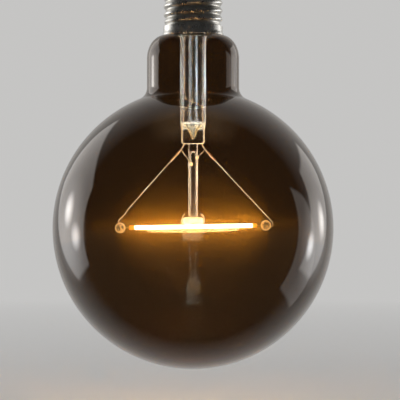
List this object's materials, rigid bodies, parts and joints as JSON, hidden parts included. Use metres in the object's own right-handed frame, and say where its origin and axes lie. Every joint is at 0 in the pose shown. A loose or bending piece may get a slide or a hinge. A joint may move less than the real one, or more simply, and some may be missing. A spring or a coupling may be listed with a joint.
{
  "type": "led filament globe bulb",
  "caption": "Smoky globe lamp with a straight LED filament on a clear glass stem, and an Edison screw cap that holds its driver, hung cap up.",
  "frame": {"origin": "centre of the centre contact's flat face, at the cap's end", "axes": "+Z along the lamp's axis and out of the cap, +X along the filament"},
  "size_m": [0.125, 0.125, 0.174],
  "materials": {
    "smoked_glass": "gloss",
    "clear_glass": "gloss",
    "nickel_wire": "satin",
    "copper_wire": "satin",
    "phosphor": "satin",
    "ceramic_strip": "satin",
    "chip": "gloss",
    "nickel_shell": "satin",
    "cement": "matte",
    "black_glass": "gloss",
    "brass": "satin",
    "solder": "satin",
    "white_plastic": "satin",
    "board": "satin",
    "package": "matte",
    "capacitor_sleeve": "gloss",
    "ferrite": "matte",
    "resistor_body": "satin"
  },
  "bodies": {
    "root": {"globe": "smoked_glass", "globe_neck": "smoked_glass", "stem": "clear_glass", "exhaust_tube": "clear_glass", "arbor_tube": "clear_glass", "arbor_button": "clear_glass", "left_hook": "nickel_wire", "right_hook": "nickel_wire", "left_strut": "nickel_wire", "right_strut": "nickel_wire", "left_feed_wire": "copper_wire", "right_feed_wire": "copper_wire", "left_lead": "nickel_wire", "right_lead": "nickel_wire", "left_weld_sleeve": "nickel_wire", "right_weld_sleeve": "nickel_wire", "left_bead": "clear_glass", "right_bead": "clear_glass", "filament_strip": "ceramic_strip", "led_chips": "chip", "phosphor_sheath": "phosphor", "left_terminal": "nickel_wire", "right_terminal": "nickel_wire", "screw_shell": "nickel_shell", "cap_cement": "cement", "cap_insulator": "black_glass", "centre_contact": "brass", "contact_solder": "solder", "insulating_sleeve": "white_plastic", "driver_board": "board", "bridge_rectifier": "package", "driver_chip": "package", "capacitor": "capacitor_sleeve", "choke": "ferrite", "fuse_resistor": "resistor_body", "contact_wire": "nickel_wire", "link_wire": "nickel_wire", "shell_wire": "nickel_wire", "shell_solder": "solder"}
  },
  "joints": []
}
